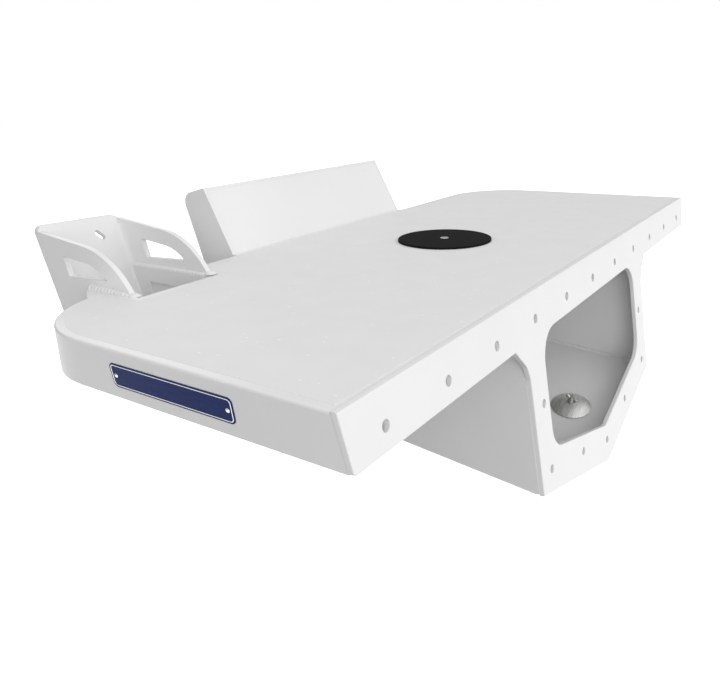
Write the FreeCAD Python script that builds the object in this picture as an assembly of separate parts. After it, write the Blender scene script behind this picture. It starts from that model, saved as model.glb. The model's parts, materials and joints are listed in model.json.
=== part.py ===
import FreeCAD, Part
import math
import os

# Welded aluminium outboard motor bracket with a full swim platform.
# X runs across the boat, Y runs aft from the transom, Z is up, all in millimetres.
# The shapes are drawn with Z = 0 on top of the deck and Y = 0 at the flange's top edge.
# At export they move so that the origin lies on the transom face, on the centreline, 60 mm down the rake.
# -X is the starboard side, which carries the auxiliary motor mount.

# ---- Driving dimensions ----
platform_width = 1524.0
platform_depth = 588.0
platform_corner_radius = 165.0
platform_height = 70.5
skirt_lean = 9.1                # how far a side skirt leans in over the platform's height
aft_flare = 18.0                # how far the aft skirts lean out over the same height
sheet = 5.0                     # deck and skirts
tub_sheet = 6.0
transom_rake = 9.5              # degrees, the flange's foot is further forward
motor_lean = 18.5               # degrees, both motor faces lean aft at the top

flange_thickness = 8.0
flange_strip = 71.5             # height of the wide strip, down the rake
origin_depth = 60.0             # of the row frame's origin, down the rake
flange_half_width = 316.5       # of the tub's part of the flange
chine_depth = 320.0
keel_depth = 404.0
bolt_hole_radius = 7.15
bolt_row_depth = 43.1
bolt_pitch = 137.8
bolts_each_side = 5
tub_bolts = [(278.8, 179.0), (276.0, 291.5), (130.4, 327.7)]
keel_bolt_depth = 362.5
mouth_top = 72.0
mouth_half_width = 256.0
mouth_chine_depth = 264.0
mouth_keel_depth = 333.0

tub_aft_half_width = 300.0
tub_aft_station = 640.0
bottom_rise = 5.6               # degrees, the V-bottom rises going aft

motor_face_y = 694.0            # aft face of the engine plate, at deck level
engine_plate_thickness = 12.0
block_front_y = 599.0
block_front_lean = 28.5         # degrees
block_top_z = 125.0
block_top_y = 666.0
block_top_fall = 14.0           # degrees, the top falls going aft
engine_bolt_radius = 6.75
engine_bolt_rows = [(163.5, 58.0), (125.4, -145.0)]   # half spacing, height above the deck

kicker_outer_x = -594.0
kicker_inner_x = -424.0
kicker_plate_thickness = 10.0
kicker_face_y = 745.0           # aft face of the plate, at deck level
kicker_top_outer = 92.0
kicker_top_inner = 88.5
kicker_foot = -75.0
gusset_thickness = 10.0
notch_y = 510.0

hatch_y = 297.5
hatch_radius = 94.5
ring_radius = 100.0
hatch_bore = 86.0
hatch_bolt_radius = 4.0
running_gap = 0.06

port_x = 104.0
port_y = 47.0
dome_radius = 41.0
dome_height = 10.5
stud_radius = 3.0

backing_thickness = 10.0
web_x = 215.0                   # webs inside the block, either side of the centreline
web_thickness = 6.0
stringer_height = 58.0
stringer_stations = ((180.0, "forward"), (390.0, "aft"))

V = FreeCAD.Vector
rake = math.radians(transom_rake)
lean = math.radians(motor_lean)
far = 4000.0

os.makedirs("parts", exist_ok=True)
origin_shift = V(0, origin_depth * math.sin(rake), origin_depth * math.cos(rake))


def save(name, shape):
    """Move a sub-part into the row frame and write it as one STEP file."""
    shape = shape.removeSplitter()
    shape.translate(origin_shift)
    shape.exportStep("parts/" + name + ".step")
    count = len(shape.Solids)
    valid = shape.isValid()
    print(name, "solids", count, "valid", valid, "volume", round(shape.Volume))


# ---- Geometry helpers ----
def beyond(point, normal):
    """All the space on the side of a plane that its normal points to."""
    block = Part.makeBox(far, far, far, V(-far / 2, -far / 2, 0))
    block.Placement = FreeCAD.Placement(point, FreeCAD.Rotation(V(0, 0, 1), normal))
    return block


def slab(point, normal, thickness):
    """A plate of endless size, from a plane to a thickness along its normal."""
    block = Part.makeBox(far, far, thickness, V(-far / 2, -far / 2, 0))
    block.Placement = FreeCAD.Placement(point, FreeCAD.Rotation(V(0, 0, 1), normal))
    return block


def box(x0, x1, y0, y1, z0, z1):
    return Part.makeBox(x1 - x0, y1 - y0, z1 - z0, V(x0, y0, z0))


def common(first, *others):
    for other in others:
        first = first.common(other)
    return first


def rounded_outline(corners):
    """A closed wire through corners (point, radius), each radius a tangent arc."""
    edges = []
    starts = []
    ends = []
    count = len(corners)
    for i, (point, radius) in enumerate(corners):
        to_last = (corners[i - 1][0] - point).normalize()
        to_next = (corners[(i + 1) % count][0] - point).normalize()
        half = to_last.getAngle(to_next) / 2
        reach = radius / math.tan(half)
        starts.append(point + to_last * reach)
        ends.append(point + to_next * reach)
        if radius > 0:
            bisector = (to_last + to_next).normalize()
            centre = point + bisector * (radius / math.sin(half))
            edges.append(Part.Arc(starts[i], centre - bisector * radius, ends[i]).toShape())
        else:
            edges.append(None)
    loop = []
    for i in range(count):
        if edges[i]:
            loop.append(edges[i])
        loop.append(Part.LineSegment(ends[i], starts[(i + 1) % count]).toShape())
    return Part.Wire(Part.__sortEdges__(loop))


def profile(corners, x0, x1):
    """A solid from a (y, z, radius) outline, drawn across the boat from x0 to x1."""
    points = [(V(x0, y, z), radius) for y, z, radius in corners]
    return Part.Face(rounded_outline(points)).extrude(V(x1 - x0, 0, 0))


def cylinder(radius, low, high, x=0.0, y=0.0):
    return Part.makeCylinder(radius, high - low, V(x, y, low))


# ---- Platform: deck plate, skirts and stringers ----
half_width = platform_width / 2
flange_normal = V(0, -math.cos(rake), math.sin(rake))
inward = flange_normal * -1


def on_flange(x, depth):
    return V(x, -depth * math.sin(rake), -depth * math.cos(rake))


def platform_outline(inset, narrower, longer, z):
    """The plan outline at a height, drawn in by an inset. It starts ahead of the flange."""
    x = half_width - inset - narrower
    y = platform_depth - inset + longer
    radius = platform_corner_radius - inset
    front = -platform_height
    corners = [(V(-x, front, z), 0), (V(x, front, z), 0), (V(x, y, z), radius), (V(-x, y, z), radius)]
    return rounded_outline(corners)


def platform_body(inset):
    """The platform as one leaning block behind the flange, drawn in by an inset."""
    top = platform_outline(inset, 0, 0, 0)
    bottom = platform_outline(inset, skirt_lean, aft_flare, -platform_height)
    block = Part.makeLoft([top, bottom], True, True)
    return block.common(beyond(inward * flange_thickness, inward))


whole_platform = platform_body(0)
inner_platform = platform_body(sheet)
below_deck = beyond(V(0, 0, -sheet), V(0, 0, -1))
above_deck_underside = beyond(V(0, 0, -sheet), V(0, 0, 1))

kicker_notch = box(kicker_outer_x, kicker_inner_x, notch_y, far, -far, far)
tongue_overlap = 30.0
tongue_front = platform_depth - tongue_overlap
block_tongue = box(-tub_aft_half_width, tub_aft_half_width, tongue_front, block_front_y, -sheet, 0)
ear_width = 38.0
ear_reach = 48.0                # how far an ear runs aft of the deck's edge
ear_tip = 5.0
ear_overlap = 12.0


def ear(edge_x, side):
    """A small corner of deck plate that backs an auxiliary gusset's weld."""
    outer_x = edge_x + side * ear_width
    tip_y = platform_depth + ear_reach
    points = [
        V(outer_x, platform_depth - ear_overlap, -sheet), V(outer_x, platform_depth, -sheet),
        V(edge_x + side * ear_tip, tip_y, -sheet), V(edge_x, tip_y, -sheet),
        V(edge_x, platform_depth - ear_overlap, -sheet),
    ]
    return Part.Face(Part.makePolygon(points + points[:1])).extrude(V(0, 0, sheet))


deck = whole_platform.common(above_deck_underside)
deck = deck.fuse([block_tongue, ear(kicker_outer_x, -1), ear(kicker_inner_x, 1)])
deck = deck.cut(kicker_notch).cut(cylinder(ring_radius, -far, far, 0, hatch_y))
deck = deck.removeSplitter()


def is_round_over_edge(edge):
    """The deck's outer top edge along both sides and corners, but not the aft cut-outs."""
    on_top = abs(edge.BoundBox.ZMin) < 0.01 and abs(edge.BoundBox.ZMax) < 0.01
    middle = edge.valueAt((edge.FirstParameter + edge.LastParameter) / 2)
    outside = abs(middle.x) > half_width - platform_corner_radius * 0.35
    return on_top and outside and middle.y > 2 * flange_thickness


deck_edge_radius = 3.5
deck = deck.makeFillet(deck_edge_radius, [edge for edge in deck.Edges if is_round_over_edge(edge)])

skirts = whole_platform.cut(inner_platform).common(below_deck)
corner_y = platform_depth - platform_corner_radius
corner_x = half_width - platform_corner_radius
ahead_of_corner = beyond(V(0, corner_y, 0), V(0, -1, 0))
aft_of_corner = beyond(V(0, corner_y, 0), V(0, 1, 0))

# ---- Tub, V-bottom and motor block, all from flat plates between planes ----
taper = math.atan2(flange_half_width - tub_aft_half_width, tub_aft_station)
rise = math.radians(bottom_rise)
motor_normal = V(0, math.cos(lean), -math.sin(lean))
motor_point = V(0, motor_face_y, 0)
engine_inner = motor_point - motor_normal * engine_plate_thickness


def side_normal(side):
    """Outward normal of a tub side, which tapers going aft. Side is -1 or 1."""
    return V(side * math.cos(taper), math.sin(taper), 0)


def bottom_normal(side):
    """Outward normal of one half of the V-bottom, which points down."""
    across = on_flange(side * flange_half_width, chine_depth) - on_flange(0, keel_depth)
    aft = V(0, math.cos(rise), math.sin(rise))
    normal = across.cross(aft).normalize()
    return normal * -1 if normal.z > 0 else normal


def side_point(side):
    return V(side * flange_half_width, 0, 0)


keel_point = on_flange(0, keel_depth)

tub_inside_flange = beyond(inward * flange_thickness, inward)
ahead_of_engine = beyond(engine_inner, motor_normal * -1)
hull = common(
    tub_inside_flange,
    beyond(motor_point, motor_normal * -1),
    beyond(side_point(-1), side_normal(-1) * -1),
    beyond(side_point(1), side_normal(1) * -1),
    beyond(keel_point, bottom_normal(-1) * -1),
    beyond(keel_point, bottom_normal(1) * -1),
)

front_normal = V(0, -math.cos(math.radians(block_front_lean)), math.sin(math.radians(block_front_lean)))
fall = math.tan(math.radians(block_top_fall))
motor_y_at_top = motor_face_y + math.tan(lean) * block_top_z
top_length = (motor_y_at_top - block_top_y) / (1 + math.tan(lean) * fall)
top_corner_y = block_top_y + top_length
top_corner_z = block_top_z - top_length * fall
block_foot_radius = 8.0
block_brow_radius = 4.0
block_crown_radius = 22.0
below_keel = keel_depth + 16.0
ahead_of_flange = -120.0

block_outline = [
    (block_front_y, 0, block_foot_radius), (block_top_y, block_top_z, block_brow_radius),
    (top_corner_y, top_corner_z, block_crown_radius),
    (motor_face_y - math.tan(lean) * below_keel, -below_keel, 0), (ahead_of_flange, -below_keel, 0),
    (ahead_of_flange, -sheet, 0), (block_front_y - tub_sheet, -sheet, 0),
]
side_view = profile(block_outline, -half_width, half_width)
side_view_above = side_view.common(above_deck_underside)
hull_and_block = hull.common(side_view)

sides = {}
for side, name in ((-1, "starboard"), (1, "port")):
    inner_face = side_point(side) - side_normal(side) * tub_sheet
    plate = common(hull_and_block, beyond(inner_face, side_normal(side)), ahead_of_engine)
    sides[name] = plate
    save("tub_" + name + "_side", plate)
both_sides = [sides["starboard"], sides["port"]]

deck = deck.cut(both_sides)

drill_reach = 60.0


def drill_engine_bolts(plate):
    """The outboard's four bolt holes, square to the motor face."""
    for half_spacing, height in engine_bolt_rows:
        for side in (-1, 1):
            on_face = V(side * half_spacing, motor_face_y + math.tan(lean) * height, height)
            start = on_face - motor_normal * drill_reach
            plate = plate.cut(Part.makeCylinder(engine_bolt_radius, 2 * drill_reach, start, motor_normal))
    return plate


save("engine_plate", drill_engine_bolts(common(hull_and_block, beyond(engine_inner, motor_normal))))

inside_sides = common(
    beyond(side_point(-1) - side_normal(-1) * tub_sheet, side_normal(-1) * -1),
    beyond(side_point(1) - side_normal(1) * tub_sheet, side_normal(1) * -1),
)

# The top plate and front plate of the motor block lie between its sides.
block_room = common(side_view_above, hull, inside_sides, ahead_of_engine)
top_normal = V(0, math.sin(math.radians(block_top_fall)), math.cos(math.radians(block_top_fall)))
top_inner = V(0, block_top_y, block_top_z) - top_normal * tub_sheet
block_top_plate = block_room.common(beyond(top_inner, top_normal))
front_inner = V(0, block_front_y, 0) - front_normal * tub_sheet
block_front_plate = block_room.common(beyond(front_inner, front_normal)).cut(block_top_plate)
block_front_plate = block_front_plate.cut(deck)
save("block_top_plate", block_top_plate)
save("block_front_plate", block_front_plate)

# ---- Inspection port in the port half of the V-bottom ----
port_normal = bottom_normal(1) * -1
bottom_inner_point = keel_point + port_normal * tub_sheet
port_z = bottom_inner_point.z - (
    port_normal.x * (port_x - bottom_inner_point.x) + port_normal.y * (port_y - bottom_inner_point.y)
) / port_normal.z
port_centre = V(port_x, port_y, port_z)
port_hole_radius = 32.0


def at_port(shape):
    """Stand a shape drawn about Z on the tub's floor, at the inspection port."""
    shape.Placement = FreeCAD.Placement(port_centre, FreeCAD.Rotation(V(0, 0, 1), port_normal))
    return shape


for side, name in ((-1, "starboard"), (1, "port")):
    half = hull.common(beyond(V(0, 0, 0), V(side, 0, 0)))
    inner = keel_point - bottom_normal(side) * tub_sheet
    plate = common(half, beyond(inner, bottom_normal(side)), inside_sides, ahead_of_engine)
    if side == 1:
        plate = plate.cut(at_port(cylinder(port_hole_radius, -drill_reach, drill_reach)))
    save("tub_" + name + "_bottom", plate)

tub_room = common(
    hull, inside_sides, ahead_of_engine,
    beyond(keel_point - bottom_normal(-1) * tub_sheet, bottom_normal(-1) * -1),
    beyond(keel_point - bottom_normal(1) * tub_sheet, bottom_normal(1) * -1),
)

# ---- Engine backing plate and two webs inside the block ----
backing_half_width = 190.0
backing_foot = -190.0
backing_top = 92.0
backing = slab(engine_inner - motor_normal * backing_thickness, motor_normal, backing_thickness)
backing = backing.common(box(-backing_half_width, backing_half_width, 0, far, backing_foot, backing_top))
save("engine_backing_plate", drill_engine_bolts(backing))

web_front_y = 545.0
lightening_radius = 45.0
lightening_y = 615.0
lightening_z = -150.0
below_room = tub_room.common(below_deck).common(beyond(V(0, web_front_y, 0), V(0, 1, 0)))
above_room = common(
    block_room,
    beyond(top_inner, top_normal * -1),
    beyond(front_inner, front_normal * -1),
    above_deck_underside,
)
web_room = below_room.fuse(above_room)
for side, name in ((-1, "starboard"), (1, "port")):
    web_face = V(side * web_x - web_thickness / 2, 0, 0)
    web = web_room.common(slab(web_face, V(1, 0, 0), web_thickness)).cut(deck)
    hole_start = V(side * web_x - web_thickness, lightening_y, lightening_z)
    lightening = Part.makeCylinder(lightening_radius, 2 * web_thickness, hole_start, V(1, 0, 0))
    save("block_web_" + name, web.cut(lightening))

# ---- Transom flange ----
shoulder_reach = 41.0            # the sloping shoulder from the strip down to the tub's part
shoulder_depth = 105.0
shoulder_foot = 22.0
shoulder_step = 8.0
rim_radius = 14.0
strip_corner_radius = 6.0
above_deck = 4.0                 # the blank starts above the deck, then is cut level with it
lean_per_depth = skirt_lean / platform_height
rim = []
for side in (1, -1):
    half = [
        (on_flange(side * (half_width + above_deck * lean_per_depth), -above_deck), 0),
        (on_flange(side * (half_width - skirt_lean), flange_strip), strip_corner_radius),
        (on_flange(side * (flange_half_width + shoulder_reach), flange_strip), 0),
        (on_flange(side * (flange_half_width + shoulder_step), shoulder_depth), rim_radius),
        (on_flange(side * flange_half_width, shoulder_depth + shoulder_foot), rim_radius),
        (on_flange(side * flange_half_width, chine_depth), 0),
    ]
    rim += half if side == 1 else half[::-1]
    if side == 1:
        rim.append((on_flange(0, keel_depth + 2), rim_radius))
flange = Part.Face(rounded_outline(rim)).extrude(inward * flange_thickness)

mouth_top_radius = 50.0
mouth_chine_radius = 45.0
mouth_keel_radius = 18.0
mouth = [
    (on_flange(mouth_half_width, mouth_top), mouth_top_radius),
    (on_flange(mouth_half_width, mouth_chine_depth), mouth_chine_radius),
    (on_flange(0, mouth_keel_depth), mouth_keel_radius),
    (on_flange(-mouth_half_width, mouth_chine_depth), mouth_chine_radius),
    (on_flange(-mouth_half_width, mouth_top), mouth_top_radius),
]
flange = flange.cut(Part.Face(rounded_outline(mouth)).extrude(inward * flange_thickness))
flange = flange.cut(beyond(V(0, 0, 0), V(0, 0, 1)))

bolt_places = [(i * bolt_pitch, bolt_row_depth) for i in range(-bolts_each_side, bolts_each_side + 1)]
for x, depth in tub_bolts:
    bolt_places += [(-x, depth), (x, depth)]
bolt_places.append((0, keel_bolt_depth))
for x, depth in bolt_places:
    flange = flange.cut(Part.makeCylinder(bolt_hole_radius, flange_thickness, on_flange(x, depth), inward))


def is_flange_front_edge(edge):
    """The long straight edges of the flange's face towards the boat."""
    points = [vertex.Point for vertex in edge.Vertexes]
    in_face = all(abs(point.dot(flange_normal)) < 0.01 for point in points)
    return in_face and len(points) == 2 and edge.Length > 4 * bolt_hole_radius


flange_edge_radius = 1.5
flange = flange.removeSplitter()
flange = flange.makeFillet(flange_edge_radius, [edge for edge in flange.Edges if is_flange_front_edge(edge)])
save("transom_flange", flange)
save("deck_plate", deck)

# ---- Skirts, split where the real strips are welded ----
for side, name in ((-1, "starboard"), (1, "port")):
    half_plane = beyond(V(0, 0, 0), V(side, 0, 0))
    side_skirt = common(skirts, ahead_of_corner, half_plane)
    corner_side = beyond(V(side * corner_x, 0, 0), V(side, 0, 0))
    corner_skirt = common(skirts, aft_of_corner, corner_side)
    save(name + "_side_skirt", side_skirt)
    save(name + "_corner_skirt", corner_skirt)
between_corners = box(-corner_x, corner_x, 0, far, -far, far)
aft_skirts = common(skirts, aft_of_corner, between_corners).cut(kicker_notch).cut(hull)
save("aft_skirt_inboard", aft_skirts.common(box(kicker_inner_x, 0, 0, far, -far, far)))
save("aft_skirt_port", aft_skirts.common(box(0, corner_x, 0, far, -far, far)))

drain_radius = 15.0
drain_places = (440.0, 560.0, 680.0)
drain_height = -sheet - stringer_height * 0.52
stringer_room = inner_platform.common(below_deck).cut(hull)
for side, name in ((-1, "starboard"), (1, "port")):
    for station, place in stringer_stations:
        reach = sorted((0.0, side * platform_width))
        bar = box(reach[0], reach[1], station, station + sheet, -sheet - stringer_height, -sheet)
        bar = bar.common(stringer_room)
        for hole_x in drain_places:
            start = V(side * hole_x, station, drain_height)
            bar = bar.cut(Part.makeCylinder(drain_radius, sheet, start, V(0, 1, 0)))
        save("stringer_" + name + "_" + place, bar)

# ---- Auxiliary motor mount ----
kicker_point = V(0, kicker_face_y, 0)
kicker_inner_point = kicker_point - motor_normal * kicker_plate_thickness


def kicker_aft(z):
    return kicker_face_y + math.tan(lean) * z


# The gusset's outline has a straight top, then a quarter round down to its toe.
gusset_heel = V(0, kicker_aft(kicker_foot), kicker_foot)
gusset_head = V(0, kicker_aft(84.0), 84.0)
shoulder = V(0, 632, 68.5)
rounding = V(0, 572, 45.5)
toe = V(0, 528, 0)
toe_corner = V(0, 519, -8)
toe_foot = V(0, 519, kicker_foot)
gusset_wire = Part.Wire([
    Part.LineSegment(gusset_heel, gusset_head).toShape(),
    Part.LineSegment(gusset_head, shoulder).toShape(),
    Part.Arc(shoulder, rounding, toe).toShape(),
    Part.LineSegment(toe, toe_corner).toShape(),
    Part.LineSegment(toe_corner, toe_foot).toShape(),
    Part.LineSegment(toe_foot, gusset_heel).toShape(),
])

# The window follows the gusset's outline, a hand's grip inside it.
window_toe = V(0, 583, 18)
window_heel = V(0, 689, 13.5)
window_head = V(0, 698, 48)
window_shoulder = V(0, 640, 42)
window_wire = Part.Wire([
    Part.LineSegment(window_toe, window_heel).toShape(),
    Part.LineSegment(window_heel, window_head).toShape(),
    Part.LineSegment(window_head, window_shoulder).toShape(),
    Part.Arc(window_shoulder, V(0, 606, 33.5), window_toe).toShape(),
])
for x, name in ((kicker_outer_x, "starboard"), (kicker_inner_x - gusset_thickness, "port")):
    gusset = Part.Face(gusset_wire).extrude(V(gusset_thickness, 0, 0))
    gusset = gusset.cut(Part.Face(window_wire).extrude(V(gusset_thickness, 0, 0)))
    gusset.translate(V(x, 0, 0))
    gusset = gusset.common(beyond(kicker_inner_point, motor_normal * -1))
    save("kicker_gusset_" + name, gusset)

outer_round = 14.0
inner_round = 22.0
plate_face = Part.Face(rounded_outline([
    (V(kicker_outer_x, 0, kicker_foot), 0),
    (V(kicker_inner_x, 0, kicker_foot), 0),
    (V(kicker_inner_x, 0, kicker_top_inner), inner_round),
    (V(kicker_outer_x, 0, kicker_top_outer), outer_round),
]))
kicker_plate = plate_face.extrude(V(0, far, 0))
kicker_plate = kicker_plate.common(slab(kicker_inner_point, motor_normal, kicker_plate_thickness))

slot_height = 55.5
slot_centre = V(-480.0, kicker_aft(slot_height), slot_height) - motor_normal * (2 * kicker_plate_thickness)
slot_half_length = 6.5
slot_radius = 4.8
slot_reach = motor_normal * (4 * kicker_plate_thickness)
slot_direction = V(15, 0, -17).normalize()
slot_across = motor_normal.cross(slot_direction).normalize()
slot_corners = []
for along, aside in ((-1, -1), (1, -1), (1, 1), (-1, 1)):
    offset = slot_direction * (along * slot_half_length) + slot_across * (aside * slot_radius)
    slot_corners.append(slot_centre + offset)
slot = Part.Face(Part.makePolygon(slot_corners + slot_corners[:1])).extrude(slot_reach)
for end in (-1, 1):
    end_point = slot_centre + slot_direction * (end * slot_half_length)
    slot = slot.fuse(Part.makeCylinder(slot_radius, slot_reach.Length, end_point, motor_normal))
save("kicker_plate", kicker_plate.cut(slot))

liner = 5.0
liner_left = kicker_outer_x + gusset_thickness
liner_right = kicker_inner_x - gusset_thickness
liner_window = box(-far, far, 600, 682, -62, -32)
well = box(liner_left, liner_right, notch_y - liner, notch_y, kicker_foot, -sheet)
for x in (liner_left, liner_right - liner):
    wall = box(x, x + liner, notch_y, far, kicker_foot, -sheet)
    well = well.fuse(wall.cut(liner_window))
well = well.common(beyond(kicker_inner_point, motor_normal * -1))
save("kicker_well", well)

# ---- Deck hatch: ring, crossbar, bush, gasket, cover and bolt ----
# The cover lies on top of the ring, on a gasket in a shallow seat.
ring_top = 0.5
ring_foot = -20.0
seat = -0.5
seat_radius = 94.6
gasket_outer = 94.0
gasket_inner = 88.0
cover_bottom = 1.0
cover_top = 4.6
cover_edge_radius = 1.3
stiffener_outer = 84.0
stiffener_inner = 78.0
stiffener_foot = -5.0
boss_radius = 13.0
head_radius = 8.5
head_room = 0.3
head_seat = 3.2
head_top = 5.4
bolt_end = -26.0
bush_top = -8.0
bush_foot = -24.0
bush_radius = 9.0
crossbar_half_width = 12.5
crossbar_top = -12.0
crossbar_foot = -20.0
key_corner_radius = 2.9          # the bolt's hexagon socket
key_floor = 4.0


def at_hatch(radius, low, high):
    return cylinder(radius, low, high, 0, hatch_y)


def hatch_bore_cut(radius):
    return at_hatch(radius, -far, far)


def top_edge(shape, height, shortest):
    """A turned shape's round edges at a height, longer than a given length."""
    at_height = [edge for edge in shape.Edges if abs(edge.BoundBox.ZMin - height) < 0.01]
    return [edge for edge in at_height if edge.Length > shortest]


ring = at_hatch(ring_radius, ring_foot, ring_top)
ring = ring.cut(at_hatch(seat_radius, seat, far)).cut(hatch_bore_cut(hatch_bore))
save("hatch_ring", ring)

crossbar_front = hatch_y - crossbar_half_width
crossbar_back = hatch_y + crossbar_half_width
crossbar = box(-hatch_bore, hatch_bore, crossbar_front, crossbar_back, crossbar_foot, crossbar_top)
crossbar = crossbar.common(hatch_bore_cut(hatch_bore)).cut(hatch_bore_cut(bush_radius))
save("hatch_crossbar", crossbar)
bolt_bore = hatch_bore_cut(hatch_bolt_radius + running_gap)
save("hatch_bush", at_hatch(bush_radius, bush_foot, bush_top).cut(bolt_bore))
save("hatch_gasket", at_hatch(gasket_outer, seat, cover_bottom).cut(hatch_bore_cut(gasket_inner)))

cover = at_hatch(hatch_radius, cover_bottom, cover_top)
cover = cover.makeFillet(cover_edge_radius, top_edge(cover, cover_top, hatch_radius))
stiffener = at_hatch(stiffener_outer, stiffener_foot, cover_bottom).cut(hatch_bore_cut(stiffener_inner))
cover = cover.fuse([stiffener, at_hatch(boss_radius, stiffener_foot, cover_bottom)])
cover = cover.cut(at_hatch(head_radius + head_room, head_seat, far))
save("hatch_cover", cover.cut(bolt_bore))

bolt_head = at_hatch(head_radius, head_seat, head_top)
bolt_head = bolt_head.makeFillet(0.8, top_edge(bolt_head, head_top, head_radius))
bolt = bolt_head.fuse(at_hatch(hatch_bolt_radius, bolt_end, head_seat))
key_corners = []
for i in range(7):
    turn = math.radians(60 * i)
    corner = V(math.cos(turn), math.sin(turn), 0) * key_corner_radius
    key_corners.append(V(0, hatch_y, key_floor) + corner)
key_socket = Part.Face(Part.makePolygon(key_corners)).extrude(V(0, 0, head_top))
save("hatch_bolt", bolt.cut(key_socket))

# ---- Inspection port: bridge, stud, gasket, dome, washer and wing nut ----
gasket_thickness = 2.0
port_gasket_outer = 39.5
port_gasket_inner = 34.0
dome_sheet = 1.5
dome_top = gasket_thickness + dome_height
ball_radius = (dome_radius ** 2 + dome_height ** 2) / (2 * dome_height)
ball_centre = V(0, 0, dome_top - ball_radius)
washer_radius = 8.5
washer_thickness = 1.2
stud_top = 29.0
bridge_half_width = 7.0
bridge_top = -0.5
bridge_foot = -5.5
stud_bore = stud_radius + running_gap


def bored(shape, radius):
    return shape.cut(cylinder(radius, -far, far))


bridge = box(-far / 2, far / 2, -bridge_half_width, bridge_half_width, bridge_foot, bridge_top)
bridge = bridge.common(cylinder(port_hole_radius, bridge_foot, bridge_top))
save("port_bridge", at_port(bored(bridge, stud_radius)))
save("port_stud", at_port(cylinder(stud_radius, bridge_foot, stud_top)))
save("port_gasket", at_port(bored(cylinder(port_gasket_outer, 0, gasket_thickness), port_gasket_inner)))
above_gasket = beyond(V(0, 0, gasket_thickness), V(0, 0, 1))
dome = Part.makeSphere(ball_radius, ball_centre).cut(Part.makeSphere(ball_radius - dome_sheet, ball_centre))
save("port_dome", at_port(bored(dome.common(above_gasket), stud_bore)))
save("port_washer", at_port(bored(cylinder(washer_radius, dome_top, dome_top + washer_thickness), stud_bore)))

# Half of the nut's two wings, as (distance from the axis, height above its foot, corner radius).
nut_gap = 0.05
nut_base = dome_top + washer_thickness + nut_gap
nut_height = 7.0
nut_radius = 6.2
wing_thickness = 3.0
wing_turn = 62.0                 # degrees, where the wings happen to point
wing_outline = [
    (3.5, 2.0, 0), (10.0, 2.5, 2), (15.5, 6.5, 3),
    (13.0, 11.0, 2.5), (9.0, 9.5, 2), (3.5, 6.0, 0),
]
wing_nut = cylinder(nut_radius, nut_base, nut_base + nut_height)
for side in (-1, 1):
    corners = []
    for out, up, radius in wing_outline:
        corners.append((V(side * out, -wing_thickness / 2, nut_base + up), radius))
    wing_nut = wing_nut.fuse(Part.Face(rounded_outline(corners)).extrude(V(0, wing_thickness, 0)))
wing_nut.rotate(V(0, 0, 0), V(0, 0, 1), wing_turn)
save("port_wing_nut", at_port(bored(wing_nut, stud_bore)))

# ---- Plain name plate on the starboard skirt, with two rivets ----
plate_length = 214.0
plate_height = 34.0
plate_centre_y = 252.0
plate_centre_z = -36.0
skirt_angle = math.degrees(math.atan2(skirt_lean, platform_height))
skirt_x = -half_width - plate_centre_z * math.tan(math.radians(skirt_angle))


def on_skirt(shape):
    """Stand a flat shape, with its length along Y, on the starboard skirt's leaning face."""
    tilt = FreeCAD.Rotation(V(0, 1, 0), -(90.0 + skirt_angle))
    shape.Placement = FreeCAD.Placement(V(skirt_x, plate_centre_y, plate_centre_z), tilt)
    return shape


plate_round = 7.0
plate_sheet = 1.0
rivet_radius = 1.6
rivet_head_ball = 4.0
rivet_head_height = 2.4
rivet_inset = 9.0
reach = plate_length / 2
rise_half = plate_height / 2
plate_corners = []
for a, b in ((-1, -1), (1, -1), (1, 1), (-1, 1)):
    plate_corners.append((V(a * rise_half, b * reach, 0), plate_round))
name_plate = Part.Face(rounded_outline(plate_corners)).extrude(V(0, 0, plate_sheet))
rivets = []
for end in (-1, 1):
    rivet_y = end * (reach - rivet_inset)
    name_plate = name_plate.cut(cylinder(rivet_radius, 0, plate_sheet, 0, rivet_y))
    head = Part.makeSphere(rivet_head_ball, V(0, rivet_y, rivet_head_height - rivet_head_ball))
    head = head.common(beyond(V(0, 0, plate_sheet), V(0, 0, 1)))
    rivets.append(head.fuse(cylinder(rivet_radius, 0, plate_sheet, 0, rivet_y)))
save("name_plate", on_skirt(name_plate))
save("name_plate_rivets", on_skirt(Part.makeCompound(rivets)))
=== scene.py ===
import json
import math
import bmesh
import bpy
from mathutils import Euler, Matrix, Vector, noise


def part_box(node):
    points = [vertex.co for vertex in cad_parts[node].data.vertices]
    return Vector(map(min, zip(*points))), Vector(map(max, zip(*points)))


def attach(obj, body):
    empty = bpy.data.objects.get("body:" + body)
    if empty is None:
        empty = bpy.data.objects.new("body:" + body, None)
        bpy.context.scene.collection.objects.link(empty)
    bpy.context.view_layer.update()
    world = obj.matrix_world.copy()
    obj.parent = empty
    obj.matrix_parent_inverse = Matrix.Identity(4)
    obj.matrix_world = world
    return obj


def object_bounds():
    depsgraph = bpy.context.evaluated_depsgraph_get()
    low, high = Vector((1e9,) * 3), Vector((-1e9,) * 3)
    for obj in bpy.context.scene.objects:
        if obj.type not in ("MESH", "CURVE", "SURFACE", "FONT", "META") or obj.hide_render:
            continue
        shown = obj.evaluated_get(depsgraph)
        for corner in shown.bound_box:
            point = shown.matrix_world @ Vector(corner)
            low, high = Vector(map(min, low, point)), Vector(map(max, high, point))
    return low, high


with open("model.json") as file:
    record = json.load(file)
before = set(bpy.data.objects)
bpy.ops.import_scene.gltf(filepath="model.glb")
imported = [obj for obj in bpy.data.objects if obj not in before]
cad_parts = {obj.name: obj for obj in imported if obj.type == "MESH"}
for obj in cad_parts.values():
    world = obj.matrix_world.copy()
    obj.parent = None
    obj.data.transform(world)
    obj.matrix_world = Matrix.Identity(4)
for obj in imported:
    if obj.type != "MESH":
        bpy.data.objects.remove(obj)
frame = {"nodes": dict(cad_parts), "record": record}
cad_box = [list(corner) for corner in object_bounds()]

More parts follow.
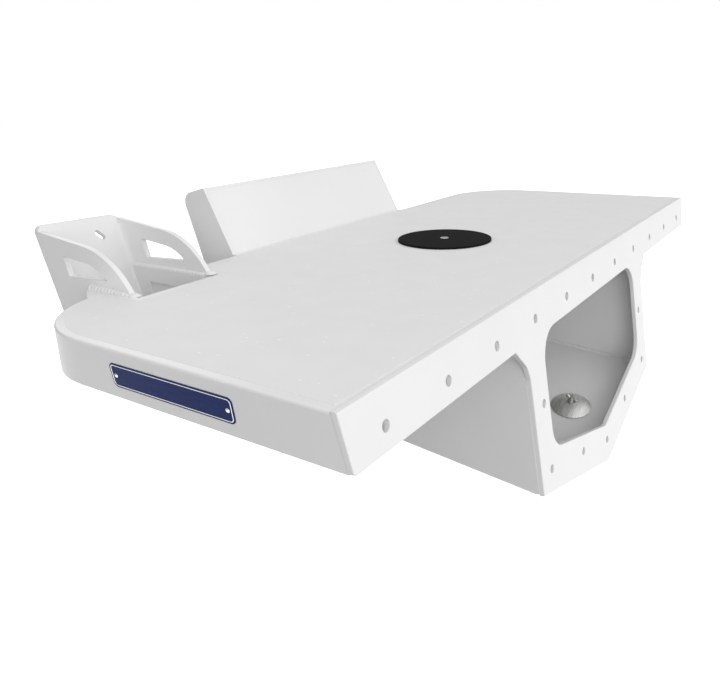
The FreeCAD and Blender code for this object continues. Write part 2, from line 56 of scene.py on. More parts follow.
# ---- Welded bracket ----
# The flange, deck, skirts, tub, motor block and auxiliary mount: marine aluminium sheet,
# cut, welded, ground where it shows and powder coated gloss white over plates and welds alike.


def linear(hex_colour, share=1.0):
    """An sRGB hex value as linear red, green, blue and alpha, darkened to a share of it."""
    channels = [int(hex_colour[i:i + 2], 16) / 255 for i in (1, 3, 5)]
    return (*[share * (c / 12.92 if c <= 0.04045 else ((c + 0.055) / 1.055) ** 2.4) for c in channels], 1.0)


def node(tree, kind, settings=None, inputs=None):
    """Adds one shader node. An input takes a value, or a socket to link from."""
    made = tree.nodes.new("ShaderNode" + kind)
    for name, value in (settings or {}).items():
        setattr(made, name, value)
    for name, value in (inputs or {}).items():
        if isinstance(value, bpy.types.NodeSocket):
            tree.links.new(value, made.inputs[name])
        else:
            made.inputs[name].default_value = value
    return made


def new_material(name):
    """An empty node material, its tree, and a place on the object in metres."""
    material = bpy.data.materials.new(name)
    material.use_nodes = True
    material.node_tree.nodes.clear()
    place = node(material.node_tree, "TexCoord").outputs["Object"]
    return material, material.node_tree, place


def per_metre(millimetres):
    """A texture scale for a pattern that repeats about every so many millimetres."""
    return 1000.0 / millimetres


def clothe(material, *names):
    """Gives CAD nodes a material."""
    for name in names:
        for slot in frame["nodes"][name].material_slots:
            slot.material = material


def gloss_white_powder_coat(name, edge_round):
    """Baked powder coat: a thick plastic skin that rounds the sheet's cut edges, faintly wavy
    like orange peel, over sheet that the welds have pulled into shallow waves. Slow clouds
    show where the film is thicker."""
    material, tree, place = new_material(name)
    peel = node(tree, "TexNoise", {}, {"Vector": place, "Scale": per_metre(5.0), "Detail": 2.0})
    wave = node(tree, "TexNoise", {}, {"Vector": place, "Scale": per_metre(140.0), "Detail": 1.0})
    pulled = node(tree, "Bump", {}, {"Height": wave.outputs["Fac"], "Strength": 0.5, "Distance": 0.006})
    if edge_round:
        edge = node(tree, "Bevel", {"samples": 6}, {"Radius": edge_round})
        tree.links.new(edge.outputs["Normal"], pulled.inputs["Normal"])
    bump = node(tree, "Bump", {}, {
        "Height": peel.outputs["Fac"], "Strength": 0.3, "Distance": 0.00005,
        "Normal": pulled.outputs["Normal"],
    })
    cloud = node(tree, "TexNoise", {}, {"Vector": place, "Scale": per_metre(260.0), "Detail": 3.0})
    tint = node(tree, "ValToRGB", {}, {"Fac": cloud.outputs["Fac"]})
    tint.color_ramp.elements[0].position = 0.3
    tint.color_ramp.elements[0].color = linear("#EDEDED", 0.965)
    tint.color_ramp.elements[1].position = 0.7
    tint.color_ramp.elements[1].color = linear("#EDEDED")
    gloss = node(tree, "MapRange", {}, {"Value": cloud.outputs["Fac"], "To Min": 0.26, "To Max": 0.38})
    shader = node(tree, "BsdfPrincipled", {}, {
        "Base Color": tint.outputs["Color"], "Roughness": gloss.outputs["Result"],
        "Normal": bump.outputs["Normal"], "IOR": 1.5,
    })
    node(tree, "OutputMaterial", {}, {"Surface": shader.outputs["BSDF"]})
    return material


rounded_coat = gloss_white_powder_coat("gloss_white_powder_coat", 0.0014)
blended_coat = gloss_white_powder_coat("gloss_white_powder_coat_over_ground_joints", 0)
clothe(rounded_coat, *frame["record"]["behaviour"]["bodies"]["bracket"])
clothe(
    blended_coat, "deck_plate", "hatch_ring", "starboard_side_skirt", "port_side_skirt",
    "starboard_corner_skirt", "port_corner_skirt", "aft_skirt_inboard", "aft_skirt_port",
)

# ---- Deck non-skid ----
# Fine grit broadcast over the deck plate before the last coat, masked off a finger's
# width inside the deck's edge, so that a smooth white border shows all round.
border = 0.014
front_border = 0.006
hatch_border = 0.002
grit_height = 0.0003
deck_low, deck_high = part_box("deck_plate")
deck_top = deck_high.z
half_width = deck_high.x
corner_radius = 0.165
arc_x, arc_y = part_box("port_corner_skirt")[0].xy
deck_aft = arc_y + corner_radius
ring_low, ring_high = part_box("hatch_ring")
hatch_centre = (ring_low + ring_high) / 2
ring_radius = (ring_high.x - ring_low.x) / 2
block_base = deck_high.y
block_front_low, block_front_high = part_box("block_front_plate")
block_half = block_front_high.x
block_front = block_front_low.y
well_low, well_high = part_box("kicker_well")
notch_edge = 0.005
notch_front = well_low.y + notch_edge
gusset_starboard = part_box("kicker_gusset_starboard")
gusset_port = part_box("kicker_gusset_port")
mount_left = gusset_starboard[0].x
mount_right = gusset_port[1].x


def arc(centre, radius, first, last, steps=20):
    """Points along an arc in plan, between two angles in degrees."""
    turns = [math.radians(first + (last - first) * i / steps) for i in range(steps + 1)]
    return [(centre[0] + radius * math.cos(turn), centre[1] + radius * math.sin(turn)) for turn in turns]


def place_mesh(name, build, material, smooth=True):
    """Makes a piece of the welded bracket from a finished bmesh."""
    mesh = bpy.data.meshes.new(name)
    bmesh.ops.recalc_face_normals(build, faces=build.faces)
    build.to_mesh(mesh)
    build.free()
    for face in mesh.polygons:
        face.use_smooth = smooth
    mesh.materials.append(material)
    piece = bpy.data.objects.new(name, mesh)
    bpy.context.scene.collection.objects.link(piece)
    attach(piece, "bracket")
    return piece


def flat_field(name, loops, height, material):
    """A thin raised area on the deck from plan loops, the first its outline, the rest holes."""
    curve = bpy.data.curves.new(name, "CURVE")
    curve.dimensions = "2D"
    curve.fill_mode = "BOTH"
    curve.extrude = height / 2
    for loop in loops:
        spline = curve.splines.new("POLY")
        spline.points.add(len(loop) - 1)
        for point, (x, y) in zip(spline.points, loop):
            point.co = (x, y, 0, 1)
        spline.use_cyclic_u = True
    holder = bpy.data.objects.new(name + "_outline", curve)
    bpy.context.scene.collection.objects.link(holder)
    bpy.context.view_layer.update()
    flat = bpy.data.meshes.new_from_object(holder.evaluated_get(bpy.context.evaluated_depsgraph_get()))
    bpy.data.objects.remove(holder)
    build = bmesh.new()
    build.from_mesh(flat)
    bmesh.ops.translate(build, verts=build.verts, vec=(0, 0, deck_top + height / 2))
    bmesh.ops.remove_doubles(build, verts=build.verts, dist=1e-6)
    return place_mesh(name, build, material, smooth=False)


def white_non_skid_coat():
    """Grit under gloss paint: low grains about a millimetre across, drawn at two so that they show. They
    scatter light evenly. Here and there a grain is given a lighter base colour as a painted glint, standing
    in for light that it catches, and a glossier finish."""
    material, tree, place = new_material("white_non_skid_coat")
    grit = node(tree, "TexVoronoi", {}, {"Vector": place, "Scale": per_metre(2.4)})
    lumps = node(tree, "TexNoise", {}, {"Vector": place, "Scale": per_metre(1.8), "Detail": 3.0})
    height = node(tree, "Math", {"operation": "ADD"}, {
        0: grit.outputs["Distance"], 1: lumps.outputs["Fac"],
    })
    bump = node(tree, "Bump", {}, {"Height": height.outputs["Value"], "Strength": 0.12, "Distance": 0.0003})
    patch = node(tree, "TexNoise", {}, {"Vector": place, "Scale": per_metre(55.0), "Detail": 4.0})
    # Painted glints: a few scattered grains get a lighter base colour, #F6F6F6, that stands in for light
    # they catch. The same grains also get a lower roughness.
    glint_cells = node(tree, "TexVoronoi", {}, {"Vector": place, "Scale": per_metre(3.0)})
    painted_glint_mask = node(tree, "Math", {"operation": "GREATER_THAN"}, {0: glint_cells.outputs["Color"], 1: 0.95})
    ground = node(tree, "ValToRGB", {}, {"Fac": patch.outputs["Fac"]})
    ground.color_ramp.elements[0].position = 0.35
    ground.color_ramp.elements[0].color = linear("#E9E9E9")
    ground.color_ramp.elements[1].position = 0.65
    ground.color_ramp.elements[1].color = linear("#EBEBEB")
    grit_with_painted_glints = node(tree, "Mix", {"data_type": "RGBA"}, {
        "Factor": painted_glint_mask.outputs["Value"], 6: ground.outputs["Color"], 7: linear("#F6F6F6"),
    })
    rough = node(tree, "MapRange", {}, {"Value": painted_glint_mask.outputs["Value"], "To Min": 0.6, "To Max": 0.3})
    shader = node(tree, "BsdfPrincipled", {}, {
        "Base Color": grit_with_painted_glints.outputs[2], "Roughness": rough.outputs["Result"],
        "Normal": bump.outputs["Normal"], "IOR": 1.5,
    })
    node(tree, "OutputMaterial", {}, {"Surface": shader.outputs["BSDF"]})
    return material


edge_x = half_width - border
edge_y = deck_aft - border
front_y = deck_low.y + front_border
mount_gap = 0.012
block_gap = 0.012
inner_arc = corner_radius - border
field = [(-edge_x, front_y), (edge_x, front_y)]
field += arc((arc_x, arc_y), inner_arc, 0, 90)
field += [(block_half + block_gap, edge_y), (block_half + block_gap, block_front - block_gap)]
field += [(-block_half - block_gap, block_front - block_gap), (-block_half - block_gap, edge_y)]
field += [(mount_right + mount_gap, edge_y), (mount_right + mount_gap, notch_front - mount_gap)]
field += [(mount_left - mount_gap, notch_front - mount_gap)]
first_turn = math.degrees(math.acos((mount_left - mount_gap + arc_x) / inner_arc))
field += arc((-arc_x, arc_y), inner_arc, first_turn, 180)
hatch_gap = arc(hatch_centre, ring_radius + hatch_border, 0, 354, 59)
flat_field("deck_non_skid", [field, hatch_gap], grit_height, white_non_skid_coat())

# ---- Rippled weld beads of the auxiliary mount ----
# The gussets are welded to the deck by hand, one puddle after another, and left unground,
# so the ripples and the swollen ends show through the coat.
deck_start = 0.0099         # the deck's front edge lies this far aft of the frame's origin
mount_aft = deck_start + 0.745
ear_end = deck_start + 0.634
toe_y = notch_front + 0.019
liner_top = well_high.z
bead_spread = 0.001         # the deck beads start this much wider than the gussets
deck_bead = (0.0100, 0.0055)
well_bead = (0.0065, 0.0050)
well_start = 0.014
well_rise = 0.002
toe_reach = 0.011
toe_height = 0.0045
ripple = 0.0082
ripple_depth = 0.28         # the share of a bead's radius that each ripple takes
trail_share = 0.45          # how far a crescent's middle trails, as a share of the pitch
swell_share = 0.10


def weld_bead(name, start, end, out, first_radius, last_radius, pitch, sides=12, steps=6):
    """A run of overlapping puddles from start to end, standing out of the joint.
    Each puddle is a crescent, whose middle trails behind its edges."""
    run = Vector(end) - Vector(start)
    along = run.normalized()
    up = (Vector(out) - along * along.dot(Vector(out))).normalized()
    across = along.cross(up)
    count = max(2, round(run.length / pitch)) * steps
    build = bmesh.new()
    rings = []
    for i in range(count + 1):
        share = i / count
        phase = (i % steps) / steps
        puddle = math.sqrt(max(0.0, 1 - (2 * phase - 1) ** 2))
        tip = min(1.0, math.sqrt(min(share, 1 - share) * run.length / first_radius + 0.02))
        swell = 1 + swell_share * noise.noise(Vector(start) * 40 + Vector((share * count / steps, 0, 0)))
        radius = (first_radius + (last_radius - first_radius) * share) * tip * swell
        radius *= 1 - ripple_depth + ripple_depth * puddle
        middle = Vector(start) + run * share
        ring = []
        for k in range(sides):
            turn = 2 * math.pi * k / sides
            trail = along * (-trail_share * pitch * math.cos(turn) * tip)
            outward = (up * math.cos(turn) + across * math.sin(turn)) * radius
            ring.append(build.verts.new(middle + trail + outward))
        rings.append(ring)
    for one, two in zip(rings, rings[1:]):
        for k in range(sides):
            build.faces.new((one[k], one[(k + 1) % sides], two[(k + 1) % sides], two[k]))
    build.faces.new(rings[0])
    build.faces.new(rings[-1])
    return place_mesh(name, build, blended_coat)


def puddle(name, centre, reach_x, reach_y, height):
    """The flattened pool of metal where a gusset's toe runs out onto the deck."""
    build = bmesh.new()
    rows = 8
    around = 28
    crown = build.verts.new(Vector(centre) + Vector((0, 0, height)))
    rings = []
    for i in range(1, rows + 1):
        share = i / rows
        ring = []
        for k in range(around):
            turn = 2 * math.pi * k / around
            edge = 1 + 0.12 * noise.noise(Vector((math.cos(turn), math.sin(turn), centre[0] * 30)) * 1.3)
            lift = height * (1 - share ** 2) ** 1.2 - 0.0004 * (share == 1)
            flat = Vector((reach_x * math.cos(turn), reach_y * math.sin(turn), 0)) * share * edge
            ring.append(build.verts.new(Vector(centre) + flat + Vector((0, 0, lift))))
        rings.append(ring)
    for k in range(around):
        build.faces.new((crown, rings[0][k], rings[0][(k + 1) % around]))
    for one, two in zip(rings, rings[1:]):
        for k in range(around):
            build.faces.new((one[k], two[k], two[(k + 1) % around], one[(k + 1) % around]))
    build.faces.new(rings[-1])
    return place_mesh(name, build, blended_coat)


for name, x, side in (("starboard", gusset_starboard[0].x, -1), ("port", gusset_port[1].x, 1)):
    ear = (x + side * bead_spread, ear_end, deck_top)
    weld_bead("gusset_" + name + "_deck_weld", ear, (x, toe_y, deck_top), (side, 0, 1), *deck_bead, ripple)
for name, x, side in (("starboard", gusset_starboard[1].x, 1), ("port", gusset_port[0].x, -1)):
    far_end = (x, mount_aft - well_start, liner_top)
    near_end = (x, toe_y, liner_top + well_rise)
    weld_bead("gusset_" + name + "_well_weld", far_end, near_end, (side, 0, 1), *well_bead, ripple)
for name, pair in (("starboard", gusset_starboard), ("port", gusset_port)):
    middle_x = (pair[0].x + pair[1].x) / 2
    toe = (middle_x, toe_y - 0.003, deck_top)
    puddle("gusset_" + name + "_toe_puddle", toe, toe_reach, toe_reach, toe_height)

# ---- Smooth corner welds ----
# Inside corners filled and blended to a hollow before coating: the two corners behind the
# auxiliary plate, and one inside the motor block, which its front plate hides.


def blended_corner(name, start, end, first_leg, second_leg, leg, steps=8):
    """A hollow wedge along an inside corner, between legs up the two plates."""
    one = Vector(first_leg).normalized() * leg
    two = Vector(second_leg).normalized() * leg
    build = bmesh.new()
    loops = []
    for end_point in (Vector(start), Vector(end)):
        back = build.verts.new(end_point - (one + two) * 0.06)
        loop = []
        for i in range(steps + 1):
            t = i / steps
            hollow = one * (1 - t) ** 2 + two * t ** 2
            loop.append(build.verts.new(end_point + hollow))
        loops.append([back] + loop)
    count = len(loops[0])
    for i in range(count):
        j = (i + 1) % count
        build.faces.new((loops[0][i], loops[0][j], loops[1][j], loops[1][i]))
    build.faces.new(loops[0])
    build.faces.new(loops[1])
    piece = place_mesh(name, build, blended_coat)
    piece.data.set_sharp_from_angle(angle=math.radians(35))
    return piece


sheet_lean = math.radians(18.5)
plate_thickness = 0.010
corner_leg = 0.014
block_leg = 0.011
block_overlap = 0.004
corner_below = 0.072
corner_above = 0.076
up_plate = Vector((0, math.sin(sheet_lean), math.cos(sheet_lean)))
off_plate = Vector((0, -math.cos(sheet_lean), math.sin(sheet_lean)))
plate_foot = Vector((0, mount_aft - plate_thickness / math.cos(sheet_lean), deck_top))
for name, x, side in (("starboard", gusset_starboard[1].x, 1), ("port", gusset_port[0].x, -1)):
    foot = Vector((x, plate_foot.y, plate_foot.z)) - up_plate * corner_below
    head = Vector((x, plate_foot.y, plate_foot.z)) + up_plate * corner_above
    blended_corner("auxiliary_plate_" + name + "_corner", foot, head, off_plate, (side, 0, 0), corner_leg)
front_lean = math.radians(28.5)
up_block = (0, math.sin(front_lean), math.cos(front_lean))
block_reach = block_half + block_overlap
blended_corner(
    "block_foot_fillet", (-block_reach, block_base, deck_top), (block_reach, block_base, deck_top),
    (0, -1, 0), up_block, block_leg,
)

# ---- Tub and skirt seams ----
# Long machine-steady runs: small even beads inside the chines, and seams outside that are
# ground nearly flush, so they show as faint ridges along the corners.
rake = math.radians(9.5)
origin_depth = 0.060        # the frame's origin is this far down the flange from the deck
deck_edge = Vector((0, origin_depth * math.sin(rake), origin_depth * math.cos(rake)))
tub_half = 0.3165
chine_depth = 0.320
keel_depth = 0.404
taper = math.atan2(0.0165, 0.640)
bottom_rise = math.radians(5.6)
tub_sheet = 0.006
engine_foot = 0.694
engine_plate = 0.012
seam_start = 0.012          # the seams begin behind the flange
chine_bead = 0.0042
chine_ridge = 0.0020
keel_ridge = 0.0022
skirt_ridge = 0.0024


def on_flange(x, depth):
    """A point on the flange's front face, so far down it from the deck's edge."""
    return deck_edge + Vector((x, -depth * math.sin(rake), -depth * math.cos(rake)))


def reach_to_engine(start, along):
    """Where a seam that runs aft from the flange meets the leaning engine plate."""
    normal = Vector((0, math.cos(sheet_lean), -math.sin(sheet_lean)))
    target = deck_edge + Vector((0, engine_foot, 0)) - normal * engine_plate
    return start + along * ((target - start).dot(normal) / along.dot(normal))


for name, side in (("starboard", -1), ("port", 1)):
    side_normal = Vector((side * math.cos(taper), math.sin(taper), 0))
    across = on_flange(side * tub_half, chine_depth) - on_flange(0, keel_depth)
    bottom_normal = across.cross(Vector((0, math.cos(bottom_rise), math.sin(bottom_rise)))).normalized()
    if bottom_normal.z > 0:
        bottom_normal.negate()
    along = side_normal.cross(bottom_normal).normalized()
    if along.y < 0:
        along.negate()
    chine = on_flange(side * tub_half, chine_depth) + along * seam_start
    inset = tub_sheet / (1 + side_normal.dot(bottom_normal))
    inner = chine - (side_normal + bottom_normal) * inset
    inward = -(side_normal + bottom_normal)
    weld_bead("tub_" + name + "_inner_chine_weld", inner, reach_to_engine(inner, along), inward,
              chine_bead, chine_bead, 0.0055, 10, 5)
    weld_bead("tub_" + name + "_chine_seam", chine, reach_to_engine(chine, along), -inward,
              chine_ridge, chine_ridge, 0.0045, 8, 4)
keel = on_flange(0, keel_depth)
keel_along = Vector((0, math.cos(bottom_rise), math.sin(bottom_rise)))
keel_start = keel + keel_along * seam_start
weld_bead("tub_keel_seam", keel_start, reach_to_engine(keel_start, keel_along), (0, 0, -1),
          keel_ridge, keel_ridge, 0.0045, 8, 4)

# The rolled corner strips are butted to each other, then ground: a low ridge down the skirt.
seam_turn = math.radians(50)
skirt_foot = Vector((0.0091, 0.018, -0.0700))
for name, side in (("starboard", -1), ("port", 1)):
    seam_x = side * (arc_x + corner_radius * math.cos(seam_turn))
    seam_y = arc_y + corner_radius * math.sin(seam_turn)
    head = Vector((seam_x, seam_y, deck_top - 0.004))
    foot = head + Vector((-side * skirt_foot.x, skirt_foot.y, skirt_foot.z + 0.006))
    away = Vector((side * math.cos(seam_turn), math.sin(seam_turn), 0))
    sunk = away * 0.0012
    weld_bead(name + "_skirt_seam", head - sunk, foot - sunk, away, skirt_ridge, skirt_ridge, 0.005, 12, 4)

# ---- Deck hatch ----
# A round cover moulded in black glass-filled nylon with a fine spark-eroded texture. One
# stainless socket screw through its middle pulls it down on a rubber gasket.


def textured_black_nylon():
    """Moulded nylon, dull and even, with a fine leathery grain of about a millimetre and
    faint scuffs from wet shoes."""
    material, tree, place = new_material("textured_black_nylon")
    grain = node(tree, "TexVoronoi", {}, {"Vector": place, "Scale": per_metre(1.6)})
    bump = node(tree, "Bump", {}, {
        "Height": grain.outputs["Distance"], "Strength": 0.35, "Distance": 0.0002,
    })
    stretch = node(tree, "Mapping", {}, {
        "Vector": place, "Rotation": (0, 0, 0.9), "Scale": (1.0, 6.0, 1.0),
    })
    scuff = node(tree, "TexNoise", {}, {
        "Vector": stretch.outputs["Vector"], "Scale": per_metre(60.0), "Detail": 5.0,
    })
    tint = node(tree, "ValToRGB", {}, {"Fac": scuff.outputs["Fac"]})
    tint.color_ramp.elements[0].position = 0.4
    tint.color_ramp.elements[0].color = linear("#131313")
    tint.color_ramp.elements[1].position = 0.75
    tint.color_ramp.elements[1].color = linear("#1D1D1D")
    rough = node(tree, "MapRange", {}, {"Value": scuff.outputs["Fac"], "To Min": 0.62, "To Max": 0.78})
    shader = node(tree, "BsdfPrincipled", {}, {
        "Base Color": tint.outputs["Color"], "Roughness": rough.outputs["Result"],
        "Normal": bump.outputs["Normal"], "IOR": 1.45, "Specular IOR Level": 0.07,
    })
    node(tree, "OutputMaterial", {}, {"Surface": shader.outputs["BSDF"]})
    return material


def black_rubber():
    """Moulded nitrile rubber: matt, almost black, with a dusty bloom."""
    material, tree, place = new_material("black_rubber")
    bloom = node(tree, "TexNoise", {}, {"Vector": place, "Scale": per_metre(6.0), "Detail": 4.0})
    tint = node(tree, "ValToRGB", {}, {"Fac": bloom.outputs["Fac"]})
    tint.color_ramp.elements[0].color = linear("#0E0E0E")
    tint.color_ramp.elements[1].color = linear("#242424")
    bump = node(tree, "Bump", {}, {"Height": bloom.outputs["Fac"], "Strength": 0.2, "Distance": 0.0001})
    shader = node(tree, "BsdfPrincipled", {}, {
        "Base Color": tint.outputs["Color"], "Roughness": 0.8, "Normal": bump.outputs["Normal"],
    })
    node(tree, "OutputMaterial", {}, {"Surface": shader.outputs["BSDF"]})
    return material


def bright_stainless():
    """Turned and tumbled stainless fasteners: bright, with faint turning marks and handling."""
    material, tree, place = new_material("bright_stainless")
    marks = node(tree, "TexNoise", {}, {"Vector": place, "Scale": per_metre(0.9), "Detail": 4.0})
    tint = node(tree, "ValToRGB", {}, {"Fac": marks.outputs["Fac"]})
    tint.color_ramp.elements[0].color = linear("#B8B8B6")
    tint.color_ramp.elements[1].color = linear("#E2E2E0")
    rough = node(tree, "MapRange", {}, {"Value": marks.outputs["Fac"], "To Min": 0.3, "To Max": 0.5})
    bump = node(tree, "Bump", {}, {"Height": marks.outputs["Fac"], "Strength": 0.15, "Distance": 0.00005})
    shader = node(tree, "BsdfPrincipled", {}, {
        "Base Color": tint.outputs["Color"], "Metallic": 1.0, "Roughness": rough.outputs["Result"],
        "Normal": bump.outputs["Normal"],
    })
    node(tree, "OutputMaterial", {}, {"Surface": shader.outputs["BSDF"]})
    return material


rubber = black_rubber()
stainless = bright_stainless()
clothe(textured_black_nylon(), "hatch_cover")
clothe(rubber, "hatch_gasket", "port_gasket")
clothe(stainless, "hatch_bolt", "hatch_bush")
clothe(stainless, "port_stud", "port_washer", "port_wing_nut", "name_plate_rivets")

# ---- Inspection port ----
# A spun stainless dome over a hole in the tub's floor, polished by hand with coarse paper.
# A wing nut clamps it on a stud from a mill-finish aluminium bridge under the hole.


def hand_brushed_stainless():
    """Stainless sheet rubbed to and fro with coarse paper: long scratches one way, some
    deep, that smear the reflections across them. Real ones are finer than these, drawn two
    millimetres apart so that they show."""
    material, tree, place = new_material("hand_brushed_stainless")
    turned = node(tree, "Mapping", {}, {
        "Vector": place, "Rotation": (0, 0, 0.55), "Scale": (1.0, 14.0, 1.0),
    })
    rubbed = turned.outputs["Vector"]
    fine = node(tree, "TexNoise", {}, {"Vector": rubbed, "Scale": per_metre(26.0), "Detail": 6.0})
    deep = node(tree, "TexNoise", {}, {"Vector": rubbed, "Scale": per_metre(60.0), "Detail": 2.0})
    both = node(tree, "Math", {"operation": "MULTIPLY_ADD"}, {
        0: deep.outputs["Fac"], 1: 1.5, 2: fine.outputs["Fac"],
    })
    bump = node(tree, "Bump", {}, {"Height": both.outputs["Value"], "Strength": 0.3, "Distance": 0.0003})
    tint = node(tree, "ValToRGB", {}, {"Fac": fine.outputs["Fac"]})
    tint.color_ramp.elements[0].position = 0.35
    tint.color_ramp.elements[0].color = linear("#D4D4D2")
    tint.color_ramp.elements[1].position = 0.65
    tint.color_ramp.elements[1].color = linear("#F6F6F4")
    rough = node(tree, "MapRange", {}, {"Value": fine.outputs["Fac"], "To Min": 0.38, "To Max": 0.55})
    shader = node(tree, "BsdfPrincipled", {}, {
        "Base Color": tint.outputs["Color"], "Metallic": 1.0, "Roughness": rough.outputs["Result"],
        "Normal": bump.outputs["Normal"],
    })
    node(tree, "OutputMaterial", {}, {"Surface": shader.outputs["BSDF"]})
    return material


def mill_aluminium():
    """Bare extruded bar: grey, with fine lines along the way it was drawn."""
    material, tree, place = new_material("mill_aluminium")
    drawn = node(tree, "Mapping", {}, {"Vector": place, "Scale": (1.0, 12.0, 12.0)})
    lines = node(tree, "TexNoise", {}, {
        "Vector": drawn.outputs["Vector"], "Scale": per_metre(14.0), "Detail": 4.0,
    })
    tint = node(tree, "ValToRGB", {}, {"Fac": lines.outputs["Fac"]})
    tint.color_ramp.elements[0].color = linear("#A6A8AA")
    tint.color_ramp.elements[1].color = linear("#D2D3D4")
    bump = node(tree, "Bump", {}, {"Height": lines.outputs["Fac"], "Strength": 0.2, "Distance": 0.0001})
    shader = node(tree, "BsdfPrincipled", {}, {
        "Base Color": tint.outputs["Color"], "Metallic": 1.0, "Roughness": 0.42,
        "Normal": bump.outputs["Normal"],
    })
    node(tree, "OutputMaterial", {}, {"Surface": shader.outputs["BSDF"]})
    return material


clothe(hand_brushed_stainless(), "port_dome")
clothe(mill_aluminium(), "port_bridge")

# ---- Name plate ----
# A plain anodised aluminium plate in dark blue, left blank, with a thin bright line pressed
# round it. Two rivets hold it to the starboard skirt.


def blue_anodised_aluminium():
    """Anodised sheet: a deep clear blue over faintly brushed metal, under lacquer."""
    material, tree, place = new_material("blue_anodised_aluminium")
    brushed = node(tree, "Mapping", {}, {"Vector": place, "Scale": (10.0, 1.0, 10.0)})
    lines = node(tree, "TexNoise", {}, {
        "Vector": brushed.outputs["Vector"], "Scale": per_metre(22.0), "Detail": 4.0,
    })
    tint = node(tree, "ValToRGB", {}, {"Fac": lines.outputs["Fac"]})
    tint.color_ramp.elements[0].position = 0.3
    tint.color_ramp.elements[0].color = linear("#0A1B4E")
    tint.color_ramp.elements[1].position = 0.7
    tint.color_ramp.elements[1].color = linear("#112B6C")
    bump = node(tree, "Bump", {}, {"Height": lines.outputs["Fac"], "Strength": 0.1, "Distance": 0.0001})
    shader = node(tree, "BsdfPrincipled", {}, {
        "Base Color": tint.outputs["Color"], "Roughness": 0.45, "Normal": bump.outputs["Normal"],
        "IOR": 1.45, "Specular IOR Level": 0.1,
    })
    node(tree, "OutputMaterial", {}, {"Surface": shader.outputs["BSDF"]})
    return material


plate_low, plate_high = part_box("name_plate")
skirt_flare = 0.0091
skirt_drop = 0.0705
skirt_angle = math.atan2(skirt_flare, skirt_drop)
plate_up = Vector((-math.sin(skirt_angle), 0, math.cos(skirt_angle)))
plate_out = Vector((-math.cos(skirt_angle), 0, -math.sin(skirt_angle)))
plate_sheet = 0.001
plate_middle = (plate_low + plate_high) / 2 + plate_out * (plate_sheet / 2)
line_inset = 0.0026
line_radius = 0.0007
line_round = 0.0052
line_flatness = 0.6
half_long = (plate_high.y - plate_low.y) / 2 - line_inset
plate_half_height = 0.017
half_tall = plate_half_height - line_inset


def pressed_line():
    """The raised line round the plate: a small half-round rib along a rounded oblong."""
    build = bmesh.new()
    path = []
    for sign_a, sign_b, first in ((1, 1, 0), (-1, 1, 90), (-1, -1, 180), (1, -1, 270)):
        centre = (sign_a * (half_long - line_round), sign_b * (half_tall - line_round))
        path += arc(centre, line_round, first, first + 90, 8)
    rings = []
    for i, (a, b) in enumerate(path):
        before = path[i - 1]
        after = path[(i + 1) % len(path)]
        heading = Vector((after[0] - before[0], after[1] - before[1])).normalized()
        sideways = Vector((0, heading.y, 0)) - plate_up * heading.x
        middle = plate_middle + Vector((0, a, 0)) + plate_up * b
        ring = []
        for k in range(8):
            turn = 2 * math.pi * k / 8
            offset = sideways * math.cos(turn) * line_radius
            offset += plate_out * math.sin(turn) * line_radius * line_flatness
            ring.append(build.verts.new(middle + offset))
        rings.append(ring)
    for one, two in zip(rings, rings[1:] + rings[:1]):
        for k in range(8):
            build.faces.new((one[k], one[(k + 1) % 8], two[(k + 1) % 8], two[k]))
    return build


clothe(blue_anodised_aluminium(), "name_plate")
place_mesh("name_plate_line", pressed_line(), stainless)

# ---- Camera, floor and light ----
# A pale floor below the bracket, a white sky that is brighter ahead and above, and three
# soft boxes. The floor sends no diffuse light back, which would brighten the underside.
camera = bpy.data.objects.new("camera", bpy.data.cameras.new("camera"))
camera.data.sensor_width = 36.0
camera.data.lens = 34.03
camera.data.clip_start = 0.05
camera.data.clip_end = 200.0
azimuth = 54.213
below_level = 19.621
tilt = -2.122
level = Euler((math.radians(90 - below_level), 0, math.radians(-azimuth))).to_matrix()
camera.rotation_euler = (level @ Matrix.Rotation(math.radians(tilt), 3, "Z")).to_euler()
camera.location = (-1.2204, -0.3509, 0.3406)
bpy.context.scene.collection.objects.link(camera)
bpy.context.scene.camera = camera

floor_drop = 0.45
floor_build = bmesh.new()
bmesh.ops.create_circle(floor_build, cap_ends=True, segments=96, radius=60.0)
floor_mesh = bpy.data.meshes.new("floor")
floor_build.to_mesh(floor_mesh)
floor_build.free()
floor = bpy.data.objects.new("floor", floor_mesh)
floor.location.z = cad_box[0][2] - floor_drop
bpy.context.scene.collection.objects.link(floor)


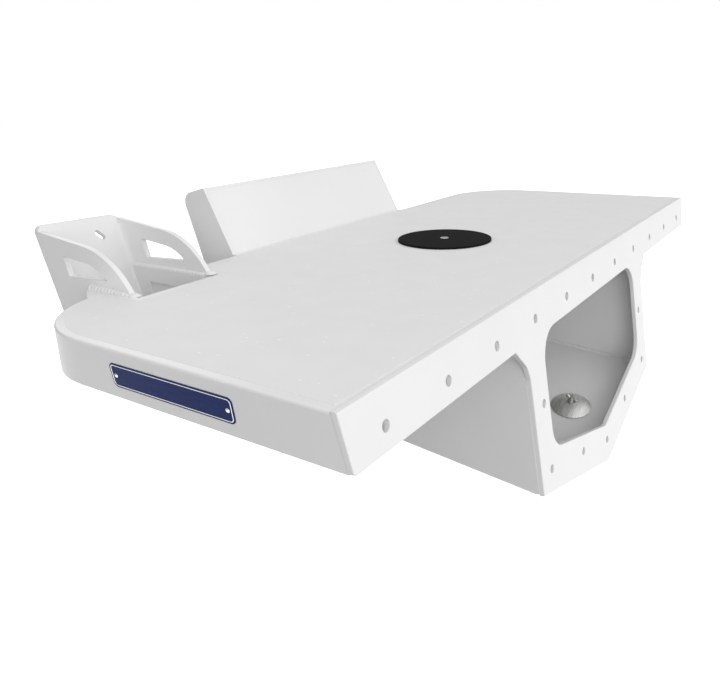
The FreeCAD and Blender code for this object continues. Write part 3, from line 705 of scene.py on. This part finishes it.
def pale_studio_paper():
    """White background paper, lit from behind so that it stays pale without shadows."""
    material, tree, place = new_material("pale_studio_paper")
    mottle = node(tree, "TexNoise", {}, {"Vector": place, "Scale": per_metre(900.0)})
    rough = node(tree, "MapRange", {}, {"Value": mottle.outputs["Fac"], "To Min": 0.8, "To Max": 0.95})
    shader = node(tree, "BsdfPrincipled", {}, {
        "Base Color": linear("#F0F0F0"), "Roughness": rough.outputs["Result"], "Specular IOR Level": 0.0,
        "Emission Color": linear("#FFFFFF"), "Emission Strength": 0.9,
    })
    node(tree, "OutputMaterial", {}, {"Surface": shader.outputs["BSDF"]})
    return material


floor_mesh.materials.append(pale_studio_paper())
floor.visible_diffuse = False

world = bpy.data.worlds.new("studio")
bpy.context.scene.world = world
world.use_nodes = True
sky = world.node_tree
sky.nodes.clear()
from_where = node(sky, "TexCoord").outputs["Generated"]
brighter_towards = (0.06, -0.33, 0.44)
sky_level = 0.45
towards_light = node(sky, "VectorMath", {"operation": "DOT_PRODUCT"}, {0: from_where, 1: brighter_towards})
soft_room = node(sky, "Math", {"operation": "ADD"}, {0: towards_light.outputs["Value"], 1: sky_level})
seen = node(sky, "LightPath").outputs["Is Camera Ray"]
strength = node(sky, "Mix", {"data_type": "FLOAT"}, {0: seen, 2: soft_room.outputs["Value"], 3: 1.0})
backdrop = node(sky, "Background", {}, {"Color": linear("#FFFFFF"), "Strength": strength.outputs[0]})
node(sky, "OutputWorld", {}, {"Surface": backdrop.outputs["Background"]})


def soft_light(name, place, target, size, power):
    """A square soft box that looks at a target."""
    light = bpy.data.objects.new(name, bpy.data.lights.new(name, "AREA"))
    light.data.size = size
    light.data.energy = power
    light.location = place
    light.rotation_euler = (Vector(target) - Vector(place)).to_track_quat("-Z", "Y").to_euler()
    bpy.context.scene.collection.objects.link(light)


middle = (Vector(cad_box[0]) + Vector(cad_box[1])) / 2
soft_light("key_light", (0.5, -3.0, 2.2), middle, 2.6, 14.0)
soft_light("fill_light", (-2.4, -1.6, 0.65), middle, 1.6, 21.0)
soft_light("back_light", (1.2, 3.6, 1.6), middle, 2.0, 14.0)
bpy.context.scene.view_settings.view_transform = "Standard"
